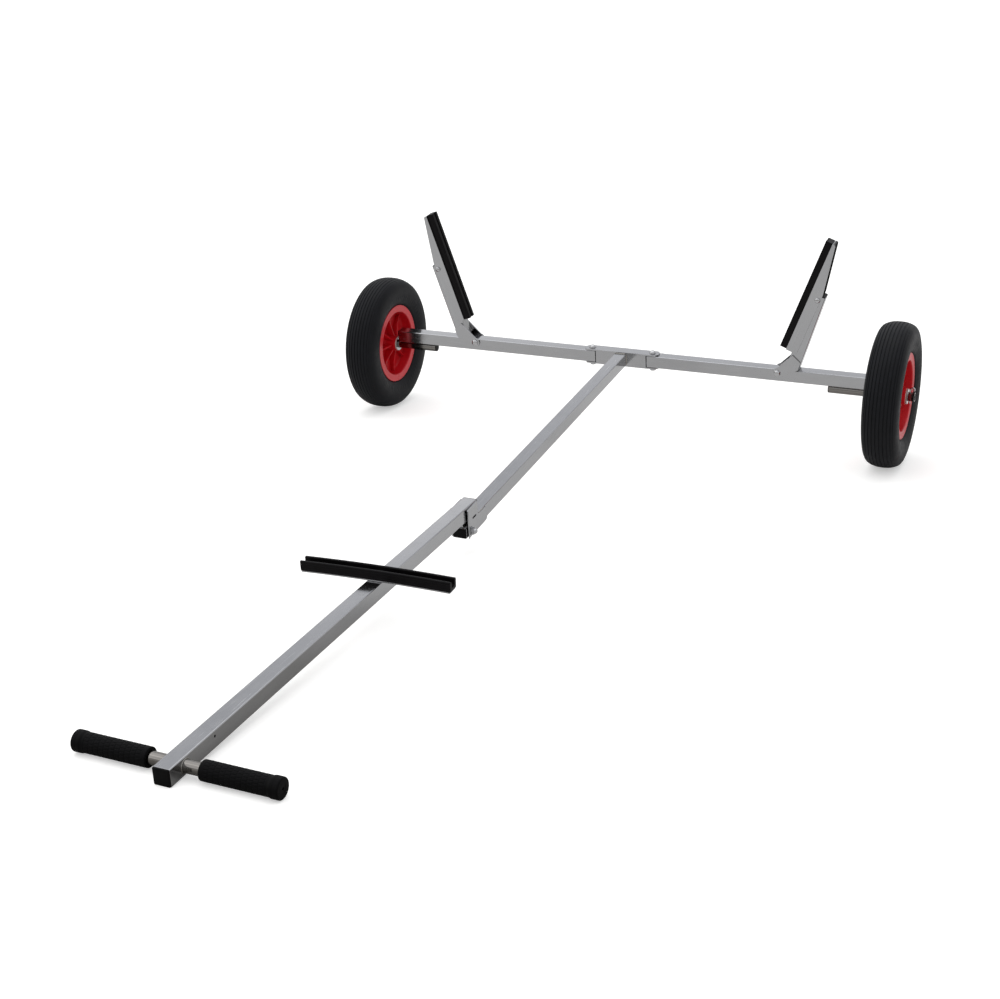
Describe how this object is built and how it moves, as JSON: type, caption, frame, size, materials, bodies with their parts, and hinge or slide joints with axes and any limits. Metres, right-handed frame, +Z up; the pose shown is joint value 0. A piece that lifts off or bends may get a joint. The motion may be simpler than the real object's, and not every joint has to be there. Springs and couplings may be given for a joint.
{
  "type": "folding boat launching trolley",
  "caption": "Folding stainless boat launching trolley: hinged crossbar with pneumatic wheels, two padded tilting hull supports, two-piece folding drawbar, bow rest and cross handle.",
  "frame": {"origin": "on the ground, under the middle of the bounding box of the whole trolley (on the centre line of the drawbar, about 1.0 m in front of the axle), with the trolley standing on its tyres and handle grips", "axes": "+X along the crossbar to the right wheel, -Y down the drawbar towards the handle, +Z up"},
  "size_m": [1.676, 2.483, 0.6238],
  "materials": {
    "stainless_tube": "satin-polished stainless steel tube and sheet",
    "polished_steel": "polished stainless fasteners and handle tube",
    "black_plastic": "moulded black plastic plugs",
    "grip_rubber": "moulded black rubber",
    "tyre_rubber": "ribbed black tyre rubber",
    "rim_plastic": "semi-gloss moulded red plastic",
    "bush_nylon": "natural nylon"
  },
  "bodies": {
    "frame": {"center_section": "stainless_tube", "rear_drawbar_tube": "stainless_tube", "fold_plate_left": "stainless_tube", "fold_plate_right": "stainless_tube", "fold_pivot_bolt": "polished_steel", "fold_pivot_nut": "polished_steel", "hinge_bolt_left": "polished_steel", "hinge_nut_left": "polished_steel", "hinge_bolt_right": "polished_steel", "hinge_nut_right": "polished_steel"},
    "front_drawbar": {"front_drawbar_tube": "stainless_tube", "front_tube_rear_plug": "black_plastic", "front_end_cap": "black_plastic", "fold_hinge_block": "stainless_tube", "hinge_block_plug": "black_plastic", "handle_tube": "polished_steel", "grip_left": "grip_rubber", "grip_right": "grip_rubber", "bow_rest_rail": "stainless_tube", "bow_rest_rubber": "grip_rubber", "bow_rest_bolt": "polished_steel"},
    "beam_left": {"crossbar_beam_left": "stainless_tube", "beam_end_plug_left": "black_plastic", "axle_tube_left": "stainless_tube", "axle_plug_left": "black_plastic", "hub_washer_inner_left": "polished_steel", "hub_washer_outer_left": "polished_steel", "axle_clip_left": "polished_steel", "support_pivot_bolt_left": "polished_steel", "support_pivot_nut_left": "polished_steel"},
    "wheel_left": {"tyre_left": "tyre_rubber", "rim_left": "rim_plastic", "inner_tube_left": "tyre_rubber", "bearing_bush_inner_left": "bush_nylon", "bearing_bush_outer_left": "bush_nylon"},
    "support_left": {"support_post_left": "stainless_tube", "post_plug_left": "black_plastic", "tilt_rivet_left": "polished_steel"},
    "pad_left": {"pad_channel_left": "stainless_tube", "pad_rubber_left": "grip_rubber"},
    "beam_right": {"crossbar_beam_right": "stainless_tube", "beam_end_plug_right": "black_plastic", "axle_tube_right": "stainless_tube", "axle_plug_right": "black_plastic", "hub_washer_inner_right": "polished_steel", "hub_washer_outer_right": "polished_steel", "axle_clip_right": "polished_steel", "support_pivot_bolt_right": "polished_steel", "support_pivot_nut_right": "polished_steel"},
    "wheel_right": {"tyre_right": "tyre_rubber", "rim_right": "rim_plastic", "inner_tube_right": "tyre_rubber", "bearing_bush_inner_right": "bush_nylon", "bearing_bush_outer_right": "bush_nylon"},
    "support_right": {"support_post_right": "stainless_tube", "post_plug_right": "black_plastic", "tilt_rivet_right": "polished_steel"},
    "pad_right": {"pad_channel_right": "stainless_tube", "pad_rubber_right": "grip_rubber"}
  },
  "joints": [
    {"name": "drawbar_fold", "type": "hinge", "parent": "frame", "child": "front_drawbar", "pos_m": [0, -0.04859, 0.06098], "axis": [1, 0, 0], "range_deg": [0, 180]},
    {"name": "crossbar_fold_left", "type": "hinge", "parent": "frame", "child": "beam_left", "pos_m": [-0.092, 1.03733, 0.23021], "axis": [0, 0.1466, -0.9892], "range_deg": [0, 75]},
    {"name": "wheel_spin_left", "type": "hinge", "parent": "beam_left", "child": "wheel_left", "pos_m": [-0.777, 1.04178, 0.20023], "axis": [1, 0, 0], "continuous": true},
    {"name": "support_fold_left", "type": "hinge", "parent": "beam_left", "child": "support_left", "pos_m": [-0.463, 1.03624, 0.23763], "axis": [0, 0.9892, 0.1466], "range_deg": [0, 80]},
    {"name": "pad_tilt_left", "type": "hinge", "parent": "support_left", "child": "pad_left", "pos_m": [-0.56859, 1.00375, 0.4568], "axis": [0, -0.9892, -0.1466], "range_deg": [-1.5, 5]},
    {"name": "crossbar_fold_right", "type": "hinge", "parent": "frame", "child": "beam_right", "pos_m": [0.092, 1.03733, 0.23021], "axis": [0, -0.1466, 0.9892], "range_deg": [0, 75]},
    {"name": "wheel_spin_right", "type": "hinge", "parent": "beam_right", "child": "wheel_right", "pos_m": [0.777, 1.04178, 0.20023], "axis": [1, 0, 0], "continuous": true},
    {"name": "support_fold_right", "type": "hinge", "parent": "beam_right", "child": "support_right", "pos_m": [0.463, 1.03624, 0.23763], "axis": [0, -0.9892, -0.1466], "range_deg": [0, 80]},
    {"name": "pad_tilt_right", "type": "hinge", "parent": "support_right", "child": "pad_right", "pos_m": [0.56859, 1.00375, 0.4568], "axis": [0, 0.9892, 0.1466], "range_deg": [-5, 1.5]}
  ]
}
